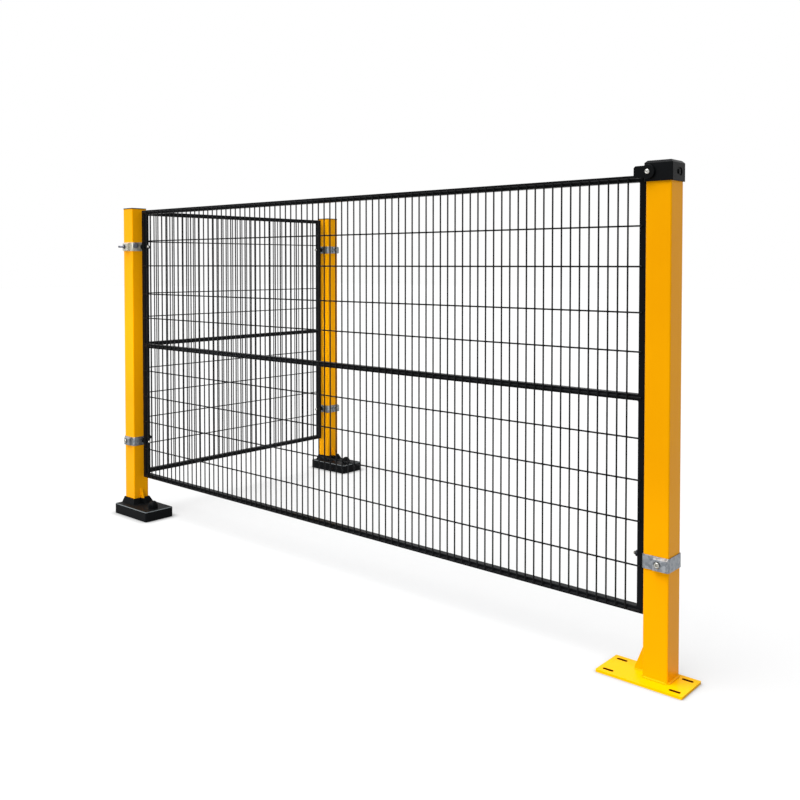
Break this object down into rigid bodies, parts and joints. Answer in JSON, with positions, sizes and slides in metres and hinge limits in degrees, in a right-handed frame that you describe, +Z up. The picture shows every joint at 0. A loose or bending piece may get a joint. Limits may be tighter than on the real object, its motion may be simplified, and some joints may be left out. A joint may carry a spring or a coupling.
{
  "type": "machine safety fence corner",
  "caption": "Corner run of machine safety fencing: a long and a short wire mesh panel clamped between square yellow posts, with moulded foot covers, a slotted base plate and a top latch.",
  "frame": {"origin": "on the corner post's axis, at the floor", "axes": "+X along the long front panel towards the right post, +Y along the short side panel towards the side post, +Z up"},
  "size_m": [2.226, 1.1252, 1.163],
  "materials": {
    "yellow_paint": "smooth powder coat, satin",
    "black_paint": "powder coat, satin",
    "black_plastic": "moulded, low gloss",
    "galvanised_steel": "galvanised, matt",
    "plated_steel": "bright zinc plate"
  },
  "bodies": {
    "fence": {"corner_post": "yellow_paint", "corner_post_cap": "black_plastic", "corner_post_base_plate": "yellow_paint", "corner_post_gusset": "yellow_paint", "corner_foot_cover": "black_plastic", "corner_upper_clamp_band": "galvanised_steel", "corner_upper_clamp_block": "galvanised_steel", "corner_lower_clamp_band": "galvanised_steel", "corner_lower_clamp_block": "galvanised_steel", "corner_band_screw": "galvanised_steel", "right_post": "yellow_paint", "right_post_base_plate": "yellow_paint", "right_post_gusset": "yellow_paint", "right_post_cap": "black_plastic", "right_post_cap_screw": "black_paint", "latch_bolt": "plated_steel", "latch_nut": "plated_steel", "right_lower_clamp_band": "galvanised_steel", "right_lower_clamp_block": "galvanised_steel", "side_post": "yellow_paint", "side_post_cap": "black_plastic", "side_post_base_plate": "yellow_paint", "side_post_gusset": "yellow_paint", "side_foot_cover": "black_plastic", "side_upper_clamp_band": "galvanised_steel", "side_upper_clamp_block": "galvanised_steel", "side_lower_clamp_band": "galvanised_steel", "side_lower_clamp_block": "galvanised_steel", "clamp_inserts": "galvanised_steel", "panel_studs": "plated_steel", "panel_spacers": "black_plastic", "panel_nuts": "plated_steel", "front_top_rail": "black_paint", "front_middle_rail": "black_paint", "front_bottom_rail": "black_paint", "front_left_stile": "black_paint", "front_right_stile": "black_paint", "front_vertical_wires": "black_paint", "front_horizontal_wires": "black_paint", "side_top_rail": "black_paint", "side_middle_rail": "black_paint", "side_bottom_rail": "black_paint", "side_far_stile": "black_paint", "side_near_stile": "black_paint", "side_vertical_wires": "black_paint", "side_horizontal_wires": "black_paint"},
    "latch": {"panel_latch": "black_plastic"},
    "corner_upper_bolt": {"corner_upper_clamp_bolt": "plated_steel"},
    "corner_lower_bolt": {"corner_lower_clamp_bolt": "plated_steel"},
    "right_lower_bolt": {"right_lower_clamp_bolt": "plated_steel"},
    "side_upper_bolt": {"side_upper_clamp_bolt": "plated_steel"},
    "side_lower_bolt": {"side_lower_clamp_bolt": "plated_steel"}
  },
  "joints": [
    {"name": "latch_lift", "type": "hinge", "parent": "fence", "child": "latch", "pos_m": [2.0875, -0.037, 1.138], "axis": [0, 1, 0], "range_deg": [0, 55]},
    {"name": "corner_upper_bolt_turn", "type": "hinge", "parent": "fence", "child": "corner_upper_bolt", "pos_m": [-0.009, -0.0365, 1], "axis": [0, -1, 0], "continuous": true},
    {"name": "corner_lower_bolt_turn", "type": "hinge", "parent": "fence", "child": "corner_lower_bolt", "pos_m": [-0.009, -0.0365, 0.27], "axis": [0, -1, 0], "continuous": true},
    {"name": "right_lower_bolt_turn", "type": "hinge", "parent": "fence", "child": "right_lower_bolt", "pos_m": [2.118, -0.0365, 0.27], "axis": [0, -1, 0], "continuous": true},
    {"name": "side_upper_bolt_turn", "type": "hinge", "parent": "fence", "child": "side_upper_bolt", "pos_m": [0.0365, 1.018, 1], "axis": [1, 0, 0], "continuous": true},
    {"name": "side_lower_bolt_turn", "type": "hinge", "parent": "fence", "child": "side_lower_bolt", "pos_m": [0.0365, 1.018, 0.27], "axis": [1, 0, 0], "continuous": true}
  ]
}
